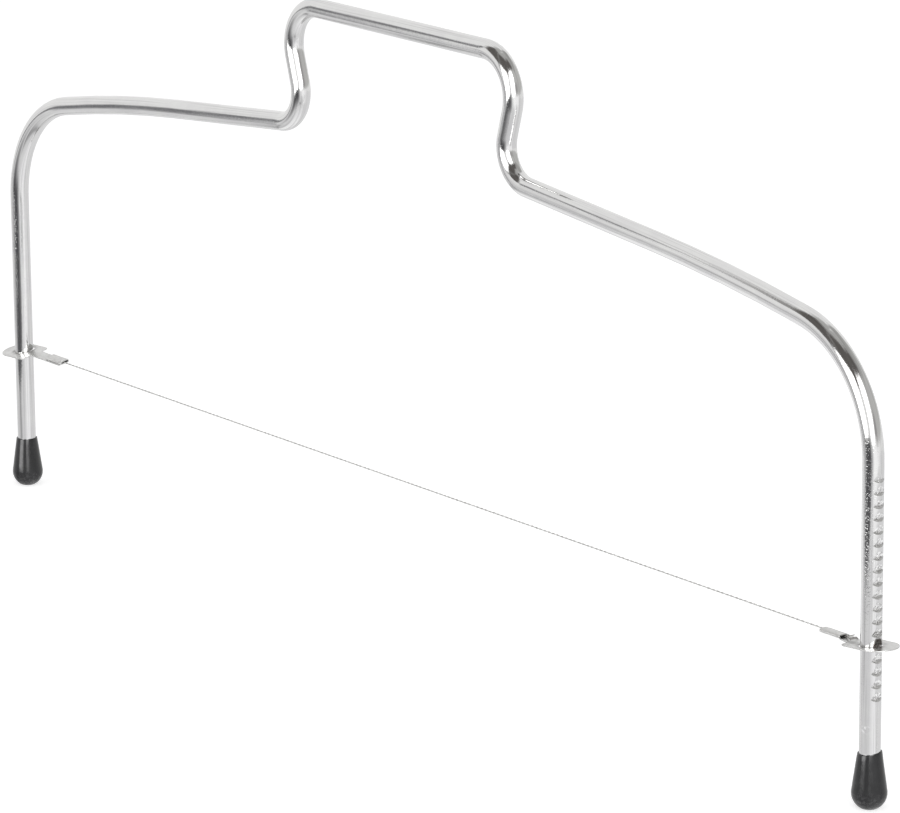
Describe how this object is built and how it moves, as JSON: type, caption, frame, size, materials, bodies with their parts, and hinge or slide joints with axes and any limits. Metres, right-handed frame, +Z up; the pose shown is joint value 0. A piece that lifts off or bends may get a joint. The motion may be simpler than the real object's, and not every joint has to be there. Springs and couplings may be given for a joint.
{
  "type": "cake leveler",
  "caption": "Bent rod frame with a raised handle and plug feet; notched legs carry sliding sheet clips that hold a taut wire for cutting cake layers level.",
  "frame": {"origin": "on the floor, midway between the two feet", "axes": "+Z up along the legs, +X from the left foot to the right foot, +Y through the frame from front to back"},
  "size_m": [0.3596, 0.0102, 0.1555],
  "materials": {
    "chromed_rod": "bright chrome plate on drawn steel rod",
    "foot_plug": "satin black moulded vinyl",
    "clip_sheet": "satin stamped sheet steel",
    "wire_strand": "plain twisted steel wire"
  },
  "bodies": {
    "frame": {"frame_rod": "chromed_rod", "left_foot": "foot_plug", "right_foot": "foot_plug"},
    "left_slider": {"left_clip": "clip_sheet", "cutting_wire": "wire_strand"},
    "right_slider": {"right_clip": "clip_sheet"}
  },
  "joints": [
    {"name": "left_clip_slide", "type": "slide", "parent": "frame", "child": "left_slider", "axis": [0, 0, 1], "range_m": [-0.012, 0.039]},
    {"name": "right_clip_slide", "type": "slide", "parent": "frame", "child": "right_slider", "axis": [0, 0, 1], "range_m": [-0.012, 0.039]}
  ],
  "couplings": [
    {"joint": "right_clip_slide", "follows": "left_clip_slide", "ratio": 1}
  ]
}
